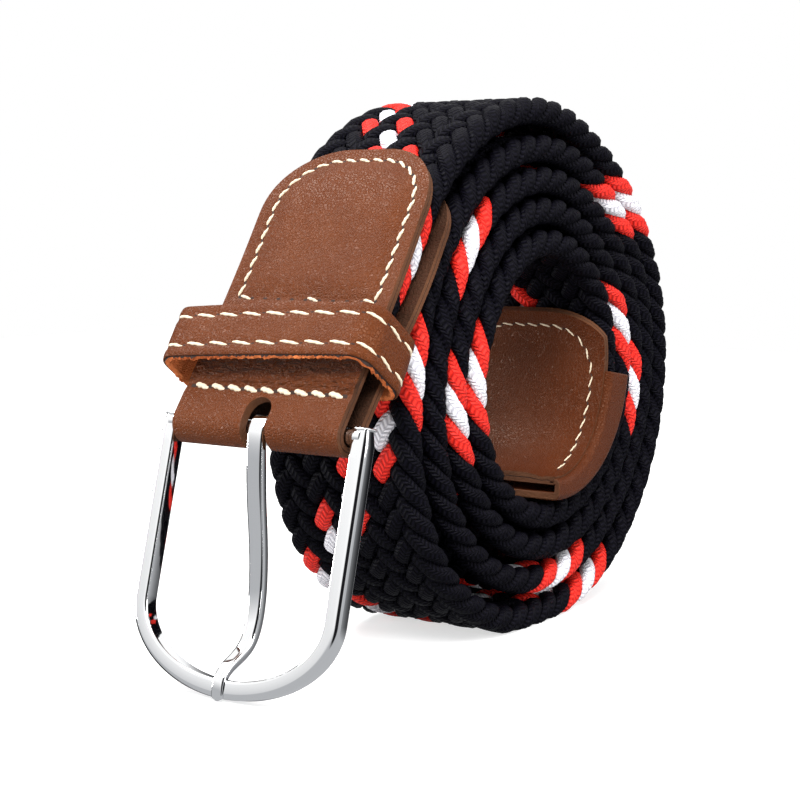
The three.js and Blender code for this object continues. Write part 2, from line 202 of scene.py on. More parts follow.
# The cords' knitted sheath. The map has the length along the cord in U and the way round it in V,
# both in millimetres.
def makeKnitGroup():
    tree, given, made = newGroup(
        "knitted sheath",
        [
            ("Map", "NodeSocketVector", None),
            ("Rib", "NodeSocketFloat", 1.0),
            ("Stitch", "NodeSocketFloat", 0.8),
        ],
        [("Height", "NodeSocketFloat"), ("Shade", "NodeSocketFloat")],
    )
    parts = addNode(tree, "ShaderNodeSeparateXYZ", {0: given.outputs["Map"]})
    along = parts.outputs["X"]
    across = maths(tree, "DIVIDE", parts.outputs["Y"], given.outputs["Rib"])
    slant = maths(tree, "PINGPONG", across, 1.0)
    steps = maths(tree, "DIVIDE", along, given.outputs["Stitch"])
    phase = maths(tree, "ADD", steps, maths(tree, "MULTIPLY", slant, 0.75))
    wave = maths(tree, "SINE", maths(tree, "MULTIPLY", phase, 2 * math.pi))
    ridge = maths(tree, "MULTIPLY", maths(tree, "ADD", wave, 1.0), 0.5)
    ridge = maths(tree, "POWER", ridge, 0.7)
    half = maths(tree, "ABSOLUTE", maths(tree, "SUBTRACT", maths(tree, "FRACT", across), 0.5))
    groove = ramp(tree, half, 0.32, 0.5, 1.0, 0.45)
    height = maths(tree, "MULTIPLY", ridge, groove)
    # Shade is the height again: the colour darkens in the grooves and lightens on the ridges as painted shade
    tree.links.new(height, made.inputs["Height"])
    tree.links.new(height, made.inputs["Shade"])
    return tree


def makeGrainGroup():
    tree, given, made = newGroup(
        "leather grain",
        [("Place", "NodeSocketVector", None), ("Size", "NodeSocketFloat", 0.7)],
        [("Height", "NodeSocketFloat"), ("Mottle", "NodeSocketFloat")],
    )
    place = given.outputs["Place"]
    scale = maths(tree, "DIVIDE", 1000.0, given.outputs["Size"])
    bend = noise(tree, place, 400.0, 2.0).outputs["Color"]
    bent = vectorMaths(tree, "ADD", place, vectorMaths(tree, "MULTIPLY", bend, (0.0006, 0.0006, 0.0006)))
    spots = {"Vector": bent, "Scale": scale}
    cells = addNode(tree, "ShaderNodeTexVoronoi", spots, feature="DISTANCE_TO_EDGE")
    pores = maths(tree, "MULTIPLY", ramp(tree, cells.outputs["Distance"], 0.0, 0.22), 0.7)
    fine = maths(tree, "MULTIPLY", noise(tree, place, 2600.0, 3.0).outputs["Fac"], 0.22)
    broad = noise(tree, place, 90.0, 4.0).outputs["Fac"]
    tree.links.new(maths(tree, "ADD", pores, fine), made.inputs["Height"])
    tree.links.new(ramp(tree, broad, 0.35, 0.65), made.inputs["Mottle"])
    return tree


knitGroup = makeKnitGroup()
grainGroup = makeGrainGroup()


def cordMaterial(name, deep, high, gloss):
    material, tree, surface = newMaterial(name, Roughness=0.55)
    surface.inputs["Specular IOR Level"].default_value = gloss
    place = addNode(tree, "ShaderNodeUVMap", uv_map="map")
    knit = addNode(tree, "ShaderNodeGroup", node_tree=knitGroup)
    tree.links.new(place.outputs["UV"], knit.inputs["Map"])
    # Painted shade: the deep colour fills the knit's grooves and the high colour its ridges
    tree.links.new(mixColour(tree, knit.outputs["Shade"], deep, high), surface.inputs["Base Color"])
    addBump(tree, surface, knit.outputs["Height"], 0.2)
    return material


def leatherMaterial(name, deep, high, grain, roughness, bump):
    material, tree, surface = newMaterial(name)
    surface.inputs["Specular IOR Level"].default_value = 0.18
    surface.inputs["Specular Tint"].default_value = (1, 0.72, 0.52, 1)
    place = addNode(tree, "ShaderNodeTexCoord")
    skin = addNode(tree, "ShaderNodeGroup", {"Size": grain}, node_tree=grainGroup)
    tree.links.new(place.outputs["Object"], skin.inputs["Place"])
    tree.links.new(mixColour(tree, skin.outputs["Mottle"], deep, high), surface.inputs["Base Color"])
    dull = ramp(tree, skin.outputs["Height"], 0.2, 1.0, roughness + 0.12, roughness)
    tree.links.new(dull, surface.inputs["Roughness"])
    folds = addNode(tree, "ShaderNodeMapping", {"Vector": place.outputs["Object"], "Scale": (1.0, 0.45, 1.0)})
    creases = noise(tree, folds.outputs[0], 1100.0, 2.0, 0.6)
    worn = addNode(tree, "ShaderNodeAttribute", attribute_name="creased")
    crease = maths(tree, "MULTIPLY", creases.outputs["Fac"], worn.outputs["Fac"])
    height = maths(tree, "ADD", skin.outputs["Height"], maths(tree, "MULTIPLY", crease, 16.0))
    addBump(tree, surface, height, bump)
    return material


navy = cordMaterial("navy cord", (0.0008, 0.0007, 0.0014, 1), (0.0036, 0.0032, 0.0068, 1), gloss=0.05)
red = cordMaterial("red cord", (0.4, 0.006, 0.004, 1), (0.86, 0.026, 0.014, 1), gloss=0.2)
white = cordMaterial("white cord", (0.5, 0.49, 0.54, 1), (0.84, 0.83, 0.87, 1), gloss=0.2)
tan = leatherMaterial(
    "brown leather", (0.084, 0.0192, 0.0045, 1), (0.097, 0.0238, 0.006, 1),
    grain=0.6, roughness=0.33, bump=0.14,
)
darkTan = leatherMaterial(
    "tip leather", (0.064, 0.0138, 0.0034, 1), (0.074, 0.0168, 0.0044, 1),
    grain=0.6, roughness=0.34, bump=0.14,
)
fleshSide = leatherMaterial(
    "flesh side", (0.028, 0.012, 0.007, 1), (0.05, 0.022, 0.013, 1),
    grain=0.8, roughness=0.85, bump=0.2,
)
cutEdge = leatherMaterial(
    "cut edge", (0.055, 0.021, 0.01, 1), (0.1, 0.04, 0.019, 1),
    grain=0.9, roughness=0.6, bump=0.08,
)
suede = leatherMaterial(
    "suede", (0.42, 0.1, 0.03, 1), (0.7, 0.2, 0.065, 1),
    grain=0.4, roughness=0.9, bump=0.2,
)
chrome, chromeTree, chromeSurface = newMaterial("chrome", Metallic=1.0, Roughness=0.06)
chromeSurface.inputs["Base Color"].default_value = (0.86, 0.865, 0.87, 1)
thread, threadTree, threadSurface = newMaterial("thread", Roughness=0.55)
threadSurface.inputs["Base Color"].default_value = (0.62, 0.52, 0.37, 1)
threadSurface.inputs["Sheen Weight"].default_value = 0.2
# Near-black painted shade for the insides of stitch holes and for the grooves along cut edges
recessShade, holeTree, holeSurface = newMaterial("painted recess shade", Roughness=0.9)
holeSurface.inputs["Base Color"].default_value = (0.02, 0.008, 0.005, 1)
print("materials made")


# Mesh helpers
def makeObject(name, points, faces, materials, uv=None, slots=None, creased=None):
    mesh = bpy.data.meshes.new(name)
    mesh.from_pydata((np.asarray(points) * mm).tolist(), [], faces)
    for material in materials:
        mesh.materials.append(material)
    mesh.polygons.foreach_set("use_smooth", [True] * len(mesh.polygons))
    if slots is not None:
        mesh.polygons.foreach_set("material_index", np.asarray(slots, np.int32))
    if uv is not None:
        layer = mesh.uv_layers.new(name="map")
        corners = np.empty(len(mesh.loops), np.int32)
        mesh.loops.foreach_get("vertex_index", corners)
        layer.data.foreach_set("uv", np.asarray(uv, np.float32)[corners].ravel())
    if creased is not None:
        marks = mesh.attributes.new("creased", "FLOAT", "POINT")
        marks.data.foreach_set("value", np.asarray(creased, np.float32).ravel())
    made = bpy.data.objects.new(name, mesh)
    bpy.context.scene.collection.objects.link(made)
    return made


# Quads between the rings of a tube. Each ring has the same number of points.
def tubeFaces(rings, sides, start=0, capped=True):
    i, j = np.meshgrid(np.arange(rings - 1), np.arange(sides), indexing="ij")
    a = i * sides + j
    b = i * sides + (j + 1) % sides
    quads = (np.stack([a, b, b + sides, a + sides], -1).reshape(-1, 4) + start).tolist()
    if capped:
        quads.append([start + sides - 1 - k for k in range(sides)])
        quads.append([start + (rings - 1) * sides + k for k in range(sides)])
    return quads


# The coil's course
# Goes smoothly through the points of a table
def curveThrough(x, y, at):
    c = np.clip(np.searchsorted(x, at, side="right"), 1, len(x) - 1)
    a, b, d = np.maximum(c - 2, 0), c - 1, np.minimum(c + 1, len(x) - 1)
    span = x[c] - x[b]
    slopeIn = (y[c] - y[a]) / np.maximum(x[c] - x[a], span)
    slopeOut = (y[d] - y[b]) / np.maximum(x[d] - x[b], span)
    t = (at - x[b]) / span
    ease = t * t * (3 - 2 * t)
    return y[b] + (y[c] - y[b]) * ease + span * (slopeIn * t * (1 - t) ** 2 - slopeOut * t * t * (1 - t))


def coilPoint(turn):
    layers = curveThrough(coilRows[:, 0], coilRows[:, 1], turn)
    flaps = curveThrough(coilRows[:, 0], coilRows[:, 2], turn)
    radius = coil["radius"] - layers * coil["layerPitch"] - flaps * coil["flapRoom"]
    angle = math.radians(coil["startAngle"]) - turn * 2 * math.pi
    return np.stack([radius * np.cos(angle), coil["axisHeight"] + radius * np.sin(angle)], -1)


# Points on the band's outer face in X and Z, and the direction out of the coil
def coilStations(turn):
    turn = np.asarray(turn, float)
    travel = unit(coilPoint(turn + 0.004) - coilPoint(turn - 0.004))
    return coilPoint(turn), np.stack([-travel[..., 1], travel[..., 0]], -1)


def tabStations(share):
    t = np.asarray(share, float)[..., None]
    lean = math.radians(tab["lean"])
    along = np.array([math.cos(lean), math.sin(lean)])
    outward = np.array([-along[1], along[0]])
    start = np.array(tab["bar"]) + outward * tab["barRadius"]
    end, endFacing = coilStations(0.0)
    handle = tab["bow"] * np.linalg.norm(end - start)
    second = start + along * handle
    third = end - np.array([endFacing[1], -endFacing[0]]) * handle
    point = (1 - t) ** 3 * start + 3 * t * (1 - t) ** 2 * second + 3 * t * t * (1 - t) * third + t ** 3 * end
    travel = unit(
        (1 - t) ** 2 * (second - start) + 2 * t * (1 - t) * (third - second) + t * t * (end - third)
    )
    facing = np.stack([-travel[..., 1], travel[..., 0]], -1)
    fill = smooth(share, tab["thinUntil"], tab["fullFrom"])
    thick = 2 * tab["barRadius"] + (coil["bandThickness"] - 2 * tab["barRadius"]) * fill
    return point, facing, thick


# The whole band as one long course, read by the length along its middle
def makeBandCourse():
    share = np.linspace(tab["bandStart"], 1, 60, endpoint=False)
    tabPoint, tabFacing, tabThick = tabStations(share)
    turn = np.linspace(0, coil["lastTurn"], 2400)
    coilPlace, coilFacing = coilStations(turn)
    thinning = smooth(turn, coil["thinsFrom"], coil["lastTurn"])
    point = np.concatenate([tabPoint, coilPlace])
    facing = np.concatenate([tabFacing, coilFacing])
    thick = np.concatenate([
        tabThick - 2 * (1 - (share - share[0]) / (1 - share[0])) * tab["gap"],
        coil["bandThickness"] + (coil["endThickness"] - coil["bandThickness"]) * thinning,
    ])
    middle = point - facing * thick[:, None] / 2
    shift = np.concatenate([np.zeros(len(share)), -coil["telescope"] * turn])
    length = np.concatenate([[0], np.cumsum(np.linalg.norm(np.diff(middle, axis=0), axis=1))])
    length -= length[len(share)]
    return {"length": length, "columns": np.column_stack([middle, facing, thick, shift])}


bandCourse = makeBandCourse()


def readBand(length):
    values = [np.interp(length, bandCourse["length"], column) for column in bandCourse["columns"].T]
    x, z, faceX, faceZ, thick, shift = values
    facing = unit(np.stack([faceX, faceZ], -1))
    return np.stack([x, z], -1), facing, thick, shift


# The plait of flat elastic cords. A cord takes one step for each place it moves across the band, and
# goes over two others and under two.
braid = {
    "cords": 17,
    "period": 100.8,
    "whiteAtEdge": -3.7,
    "cordWidth": 3.6,
    "cordThickness": 2.7,
    "edgeWidth": 3.3,
    "rise": 1.4,
    "softening": 0.36,
    "turnRound": 0.85,
    "turnSlant": 0.9,
    "samplesPerStep": 4,
    "ringSides": 10,
}


def plaitTables():
    cords = braid["cords"]
    steps = 2 * cords
    fine = 32
    t = np.arange(steps * fine) / fine
    toNear = np.abs(t - cords)
    toFar = cords - toNear
    place = cords - toNear  # 0 at the far edge
    column = np.floor((np.clip(place, 0.5, cords - 0.51) - 0.5) / 2).astype(int)
    goingIn = t < cords
    height = np.where((column % 2 == 0) == goingIn, 1.0, -1.0)
    spread = np.arange(-2 * fine, 2 * fine + 1) / fine
    kernel = np.exp(-0.5 * (spread / braid["softening"]) ** 2)
    kernel /= kernel.sum()
    height = np.convolve(np.concatenate([height[-2 * fine:], height, height[:2 * fine]]), kernel, "valid")
    # At an edge a cord slants from one face to the other
    slant = braid["turnSlant"]
    nearSign, farSign = height[(cords - 1) * fine - fine // 2], height[fine + fine // 2]
    nearBlend = 1 - smooth(toNear, slant, slant + 0.5)
    farBlend = 1 - smooth(toFar, slant, slant + 0.5)
    fromFar = np.where(t < cords, t, t - steps)
    height = height * (1 - nearBlend) + nearBlend * nearSign * np.clip((cords - t) / slant, -1, 1)
    height = height * (1 - farBlend) + farBlend * farSign * np.clip(fromFar / slant, -1, 1)
    bow = braid["turnRound"]
    inside = np.where(
        toNear < toFar,
        cords - (np.sqrt(toNear ** 2 + bow ** 2) - bow),
        np.sqrt(toFar ** 2 + bow ** 2) - bow,
    )
    gap = cords - 2 * (np.sqrt((cords / 2) ** 2 + bow ** 2) - bow)
    place = np.where(inside > cords / 2, inside - gap / 2, inside + gap / 2)
    place = (place - place.min()) / (place.max() - place.min())
    edge = np.exp(-(toNear / 1.2) ** 2) + np.exp(-(toFar / 1.2) ** 2)
    # A cord lies flat on both faces and on its side at the edges
    atStart, atNear, atEnd = [smooth(t, middle - 1.5, middle + 1.5) for middle in (0, cords, steps)]
    turned = 180 * (atStart - 1 - atNear + atEnd)
    return t, place, height, edge, turned


def makeCords(name, numbers, material):
    t, place, height, edge, turned = plaitTables()
    steps = 2 * braid["cords"]
    stepLength = braid["period"] / steps
    first, last = bandCourse["length"][0], bandCourse["length"][-1]
    sides = braid["ringSides"]
    round_ = 2 * math.pi * np.arange(sides) / sides
    ringX = np.sign(np.cos(round_)) * np.abs(np.cos(round_)) ** 0.85
    ringY = np.sign(np.sin(round_)) * np.abs(np.sin(round_)) ** 0.85
    points, faces, uvs = [], [], []
    count = 0
    for number in numbers:
        start = braid["whiteAtEdge"] - (braid["cords"] - 2 * number) * stepLength
        low = math.ceil((first - start) / stepLength * braid["samplesPerStep"])
        high = math.floor((last - start) / stepLength * braid["samplesPerStep"])
        step = np.arange(low, high + 1) / braid["samplesPerStep"]
        length = start + step * stepLength
        phase = step % steps

        def read(values):
            return np.interp(phase, np.append(t, steps), np.append(values, values[0]))

        middle, facing, thick, shift = readBand(length)
        squeeze = thick / coil["bandThickness"]
        wobble = 0.12 * np.sin(length * 0.31 + number * 2.1) + 0.08 * np.sin(length * 0.83 + number)
        halfWidth = coil["bandWidth"] / 2 - braid["cordThickness"] / 2
        y = (0.5 - read(place)) * 2 * halfWidth + shift + wobble * (1 - read(edge)).clip(0, 1)
        out = read(height) * braid["rise"] * squeeze
        centre = np.stack([middle[:, 0] + facing[:, 0] * out, y, middle[:, 1] + facing[:, 1] * out], -1)
        tangent = unit(np.gradient(centre, axis=0))
        facing3 = np.stack([facing[:, 0], np.zeros(len(facing)), facing[:, 1]], -1)
        spin = np.radians(np.interp(phase, np.append(t, steps), np.append(turned, turned[0])))
        normal = facing3 * np.cos(spin)[:, None] + np.array([0, -1.0, 0]) * np.sin(spin)[:, None]
        normal = unit(normal - tangent * np.sum(normal * tangent, 1, keepdims=True))
        side = np.cross(tangent, normal)
        wide = (braid["cordWidth"] + (braid["edgeWidth"] - braid["cordWidth"]) * read(edge)) / 2
        deep = braid["cordThickness"] / 2 * squeeze
        ring = (
            centre[:, None, :]
            + side[:, None, :] * (wide[:, None] * ringX)[..., None]
            + normal[:, None, :] * (deep[:, None] * ringY)[..., None]
        )
        ring[..., 2] = np.maximum(ring[..., 2], 0.02)
        travelled = np.concatenate([[0], np.cumsum(np.linalg.norm(np.diff(centre, axis=0), axis=1))])
        faces += tubeFaces(len(step), sides, count)
        points.append(ring.reshape(-1, 3))
        around = np.abs(np.arange(sides) - sides / 2) / (sides / 2) * 4.8
        uvs.append(np.stack(np.broadcast_arrays(travelled[:, None], around[None, :]), -1).reshape(-1, 2))
        count += len(step) * sides
    made = makeObject(name, np.concatenate(points), faces, [material], uv=np.concatenate(uvs))
    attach(made, "belt")
    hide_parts("braided_band")
    return made


makeCords("white_cord", [0], white)
makeCords("red_cords", [-1, 1], red)
navyNumbers = list(range(2, 16))
for part in range(3):
    makeCords(f"navy_cords_{part + 1}", navyNumbers[part::3], navy)
print("cords plaited")


# Leather strips. A strip is a course of points in X and Z with the direction out of its grain side, the
# height of its underside and half its width.
def readStrip(strip, length, across, lift=0.0):
    length = np.asarray(length, float)
    values = [np.interp(length, strip["length"], c) for c in strip["columns"].T]
    x, z, faceX, faceZ, low, half, shift = values
    facing = unit(np.stack([faceX, faceZ], -1))
    out = low + strip["thick"] + lift
    point = np.stack([x + facing[..., 0] * out, np.asarray(across) + shift, z + facing[..., 1] * out], -1)
    return point, np.stack([facing[..., 0], np.zeros_like(x), facing[..., 1]], -1)


def buildStrip(point, facing, low, half, thick, shift=0.0):
    low = np.broadcast_to(low, len(point)).astype(float)
    half = np.broadcast_to(half, len(point)).astype(float)
    shift = np.broadcast_to(shift, len(point)).astype(float)
    skin = point + facing * (low + thick)[:, None]
    length = np.concatenate([[0], np.cumsum(np.linalg.norm(np.diff(skin, axis=0), axis=1))])
    columns = np.column_stack([point, facing, low, half, shift])
    seam = [(0.46, 0.0), (0.5, 0.22), (0.54, 0.0)]
    return {"length": length, "columns": columns, "thick": thick, "seam": seam}


def stripObject(name, strip, columns, materials, lift=None, creases=None, bevel=0.35):
    rows = strip["columns"]
    share = np.linspace(-1, 1, columns)
    offset = share[None, :] * rows[:, 5][:, None]
    across = offset + rows[:, 6][:, None]
    extra = 0 * across if lift is None else lift(strip["length"][:, None], offset)

    def layer(out):
        return np.stack([
            rows[:, 0][:, None] + rows[:, 2][:, None] * out,
            across,
            rows[:, 1][:, None] + rows[:, 3][:, None] * out,
        ], -1)

    low = rows[:, 4][:, None] + 0 * across
    skin, back = layer(low + strip["thick"] + extra), layer(low)
    count = len(rows) * columns
    index = np.arange(count).reshape(len(rows), columns)
    around = np.concatenate([index[:, 0], index[-1, 1:], index[-2::-1, -1], index[0, -2:0:-1]])
    inner = np.clip(index, columns + 1, None)
    row, column = np.divmod(around, columns)
    inner = np.clip(row, 1, len(rows) - 2) * columns + np.clip(column, 1, columns - 2)
    top, bottom = skin.reshape(-1, 3), back.reshape(-1, 3)
    inward = unit(top[inner] - top[around])
    walls = [top[around] * (1 - t) + bottom[around] * t + inward * dip for t, dip in strip["seam"]]
    points = np.concatenate([top, bottom, *walls])
    a = index[:-1, :-1].ravel()
    upper = np.stack([a, a + 1, a + columns + 1, a + columns], -1)
    loops = [around] + [2 * count + k * len(around) + np.arange(len(around)) for k in range(len(walls))]
    loops.append(around + count)
    sides = [
        np.stack([p, np.roll(p, -1), np.roll(q, -1), q], -1)
        for p, q in zip(loops[:-1], loops[1:])
    ]
    faces = upper.tolist() + (upper[:, ::-1] + count).tolist() + np.concatenate(sides).tolist()
    slots = [0] * len(upper) + [2] * len(upper)
    # The two middle bands of each cut edge, round its groove, take the near-black painted shade
    for k in range(len(sides)):
        slots += [3 if 0 < k < len(sides) - 1 else 1] * len(around)
    marks = None
    if creases is not None:
        marks = np.zeros(len(points))
        marks[:count] = creases(strip["length"][:, None], offset).ravel()
    made = makeObject(name, points, faces, materials, slots=slots, creased=marks)
    if bevel:
        edge = made.modifiers.new("worn edges", "BEVEL")
        edge.width = bevel * mm
        edge.segments = 3
        edge.limit_method = "ANGLE"
        edge.angle_limit = math.radians(50)
        edge.harden_normals = True
        edge.material = 1
    return made


# Buckle tab
def tabStrip():
    radius = np.linalg.norm(coilPoint(np.array(tab["reach"])) - np.array([0, coil["axisHeight"]]))
    perTurn = 2 * math.pi * radius
    inset = np.concatenate([
        tab["corner"] * (1 - np.cos(np.linspace(0, math.pi / 2, 22))),
        np.linspace(tab["corner"], tab["reach"] * perTurn, 5)[1:-1],
    ])
    onCoil, coilFacing = coilStations(tab["reach"] - inset / perTurn)
    share = np.linspace(1, 0, 64)
    onTab, tabFacing, thick = tabStations(share)
    point = np.concatenate([onCoil, onTab])
    facing = np.concatenate([coilFacing, tabFacing])
    sandwich = np.concatenate([np.full(len(onCoil), coil["bandThickness"]), thick])
    left = np.concatenate([np.maximum(tab["corner"] - inset, 0), np.zeros(len(share))])
    half = tab["width"] / 2 - tab["corner"] + np.sqrt(tab["corner"] ** 2 - left ** 2)
    turn = np.linspace(math.pi, 0, 26)[1:-1]
    first = tabFacing[-1]
    fold = np.stack([
        first[0] * np.cos(turn) - first[1] * np.sin(turn),
        first[0] * np.sin(turn) + first[1] * np.cos(turn),
    ], -1)
    low = np.concatenate([
        sandwich + tab["gap"],
        np.full(len(turn), tab["barRadius"] + tab["gap"]),
        np.full(len(point), tab["gap"]),
    ])
    return buildStrip(
        np.concatenate([point, np.tile(tab["bar"], (len(turn), 1)), point[::-1]]),
        np.concatenate([-facing, fold, facing[::-1]]),
        low,
        np.concatenate([half, np.full(len(turn), tab["width"] / 2), half[::-1]]),
        tab["leather"],
    )


strip = tabStrip()
stripEnd = strip["length"][-1]
barCentre = strip["length"][len(strip["length"]) // 2] + 0.5 * math.pi * (
    tab["barRadius"] + tab["gap"] + tab["leather"]
)


# Height of the padded panel inside the stitching, and the dip along the stitches
def tabLift(length, across):
    inset = tab["stitchInset"]
    fromEnd = stripEnd - length
    fromBar = length - barCentre
    cornerRadius = tab["corner"] - inset
    sideways = np.maximum(np.abs(across) - (tab["width"] / 2 - tab["corner"]), 0)
    upward = np.maximum(tab["corner"] - fromEnd, 0)
    inside = np.minimum(
        cornerRadius - np.hypot(sideways, upward),
        fromBar - tab["crossRow"],
    )
    panel = tab["crown"] * smooth(inside, 0, 4.5)
    groove = 0.28 * np.exp(-(inside / 0.7) ** 2)
    lowGroove = 0.28 * np.exp(-((fromBar - tab["lowRow"]) / 0.8) ** 2)
    return (panel - groove - lowGroove) * (fromBar > 0)


# The fold between the keeper and the stitches below it is creased
def tabCreases(length, across):
    fromBar = length - barCentre
    starts = smooth(fromBar, tab["lowRow"] + 0.5, tab["lowRow"] + 2)
    ends = smooth(fromBar, tab["creaseEnd"], tab["creaseEnd"] + 3)
    return starts * (1 - ends) + 0 * across


tabLeather = stripObject(
    "tab_leather", strip, 60, [tan, cutEdge, fleshSide, recessShade], lift=tabLift, creases=tabCreases,
)


def cutWith(target, points, faces, materials, slots=None):
    cutter = makeObject("cutter", points, faces, materials, slots=slots)
    cut = target.modifiers.new("cut", "BOOLEAN")
    cut.object = cutter
    cut.solver = "EXACT"
    target.modifiers.move(len(target.modifiers) - 1, 0)
    bpy.context.view_layer.objects.active = target
    bpy.ops.object.modifier_apply(modifier="cut")
    bpy.data.objects.remove(cutter)


def cutSlot(target):
    radius = tab["slotWidth"] / 2
    depth = 4 * (tab["barRadius"] + tab["leather"])
    turn = np.linspace(0, math.pi, 25)
    outline = np.concatenate([
        [(-radius, -depth), (radius, -depth)],
        np.stack([radius * np.cos(turn), tab["slotReach"] - radius + radius * np.sin(turn)], -1),
    ])
    lean = math.radians(tab["lean"])
    along = np.array([math.cos(lean), 0, math.sin(lean)])
    outward = np.array([-math.sin(lean), 0, math.cos(lean)])
    centre = np.array([tab["bar"][0], 0, tab["bar"][1]])
    rings = [
        centre + outline[:, :1] * np.array([0, -1.0, 0]) + outline[:, 1:] * along + outward * out
        for out in (-depth / 2, depth / 2)
    ]
    faces = tubeFaces(2, len(outline))
    cutWith(target, np.concatenate(rings), faces, [tan, cutEdge, fleshSide, recessShade], [1] * len(faces))


cutSlot(tabLeather)
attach(tabLeather, "belt")
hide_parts("buckle_tab")
print("tab made")


# Stitches: one slim spindle each, sunk at its ends, with a low near-black dome of painted shade for the
# stitch hole between two of them
stitching = {
    "pitch": 3.05,
    "width": 0.62,
    "height": 0.56,
    "sides": 12,
    "rings": 15,
    "twist": 1.6,
    "ply": 0.16,
    "slant": 0.85,
}


def stitchMeshes(name, rows, body, pitch=None, size=1.0, shown=None):
    sides, rings = stitching["sides"], stitching["rings"]
    threadPoints, threadFaces, holePoints, holeFaces = [], [], [], []
    for points, normals in rows:
        step = np.linalg.norm(np.diff(points, axis=0), axis=1)
        length = np.concatenate([[0], np.cumsum(step)])
        number = max(1, round(length[-1] / (pitch or stitching["pitch"])))
        ends = np.linspace(0, length[-1], number + 1)

        def read(s, values):
            return np.stack([np.interp(s, length, v) for v in values.T], -1)

        for k in range(number) if shown is None else shown:
            t = np.linspace(0.04, 0.96, rings)
            line = read(ends[k] + (ends[k + 1] - ends[k]) * t, points)
            out = unit(read(ends[k] + (ends[k + 1] - ends[k]) * t, normals))
            travel = unit(np.gradient(line, axis=0))
            side = np.cross(travel, out)
            arch = np.sin(math.pi * t)[:, None]
            line = line + out * (arch ** 0.6 * 0.42 - 0.3) * size
            line = line + side * (t[:, None] - 0.5) * stitching["slant"]
            turn = 2 * math.pi * np.arange(sides) / sides
            plies = 1 + stitching["ply"] * np.cos(2 * (turn - 2 * math.pi * stitching["twist"] * t[:, None]))
            girth = (0.3 + 0.7 * arch ** 0.5) * plies
            ring = (
                line[:, None, :]
                + side[:, None, :] * (girth * size * stitching["width"] / 2 * np.cos(turn))[..., None]
                + out[:, None, :] * (girth * size * stitching["height"] / 2 * np.sin(turn))[..., None]
            )
            threadFaces += tubeFaces(rings, sides, sum(map(len, threadPoints)))
            threadPoints.append(ring.reshape(-1, 3))
        # Each stitch hole is a low dome in the near-black painted shade
        for s in ends:
            line, out = read(np.array([s]), points)[0], unit(read(np.array([s]), normals))[0]
            travel = unit(read(np.array([s + 0.1]), points)[0] - read(np.array([s - 0.1]), points)[0])
            side = np.cross(travel, out)
            turn = 2 * math.pi * np.arange(10) / 10
            ringPoints = [
                line + out * h + (travel * np.cos(turn)[:, None] + side * np.sin(turn)[:, None] * 1.15) * r
                for h, r in ((-0.25, 0.6 * size), (0.0, 0.56 * size), (0.06, 0.34 * size))
            ]
            holeFaces += tubeFaces(3, 10, sum(map(len, holePoints)))
            holePoints += ringPoints
    for title, points, faces, material in (
        (name + "_stitches", threadPoints, threadFaces, thread),
        (name + "_painted_hole_shade", holePoints, holeFaces, recessShade),
    ):
        made = makeObject(title, np.concatenate(points), faces, [material])
        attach(made, body)


def rowOnTab(length, across):
    return readStrip(strip, length, across, tabLift(length, across))


def tabRows():
    inset = tab["stitchInset"]
    straight = tab["width"] / 2 - inset
    middle = tab["width"] / 2 - tab["corner"]
    radius = tab["corner"] - inset
    turn = np.linspace(0, math.pi / 2, 24)
    side = np.linspace(barCentre + tab["crossRow"], stripEnd - tab["corner"], 30)
    arcLength = stripEnd - tab["corner"] + radius * np.sin(turn)
    arcAcross = middle + radius * np.cos(turn)
    length = np.concatenate([side, arcLength, arcLength[::-1], side[::-1]])
    across = np.concatenate([-np.full(30, straight), -arcAcross, arcAcross[::-1], np.full(30, straight)])
    keep = np.concatenate([[True], np.hypot(np.diff(length), np.diff(across)) > 0.01])
    rows = [rowOnTab(length[keep], across[keep])]
    cross, low = [
        rowOnTab(np.full(40, barCentre + place), np.linspace(-half, half, 40))
        for place, half in ((tab["crossRow"], straight), (tab["lowRow"], straight + 1.4))
    ]
    return rows, cross, low


tabRounds, crossRow, lowRow = tabRows()
stitchMeshes("tab", tabRounds, "belt")
stitchMeshes("tab_cross", [crossRow], "belt", shown=(0, 4, 9))
stitchMeshes("tab_low", [lowRow], "belt", 3.7, 1.6)

# Keeper loop
keeper = {
    "place": 0.37,
    "height": 10.5,
    "leather": 1.8,
    "side": 21.3,
    "front": 4.9,
    "corner": 2.4,
    "shift": 2.1,
    "tilt": 3.5,
    "bulge": 0.5,
    "rowInset": 2.2,
    "dip": 0.24,
    "pitch": 5.2,
}


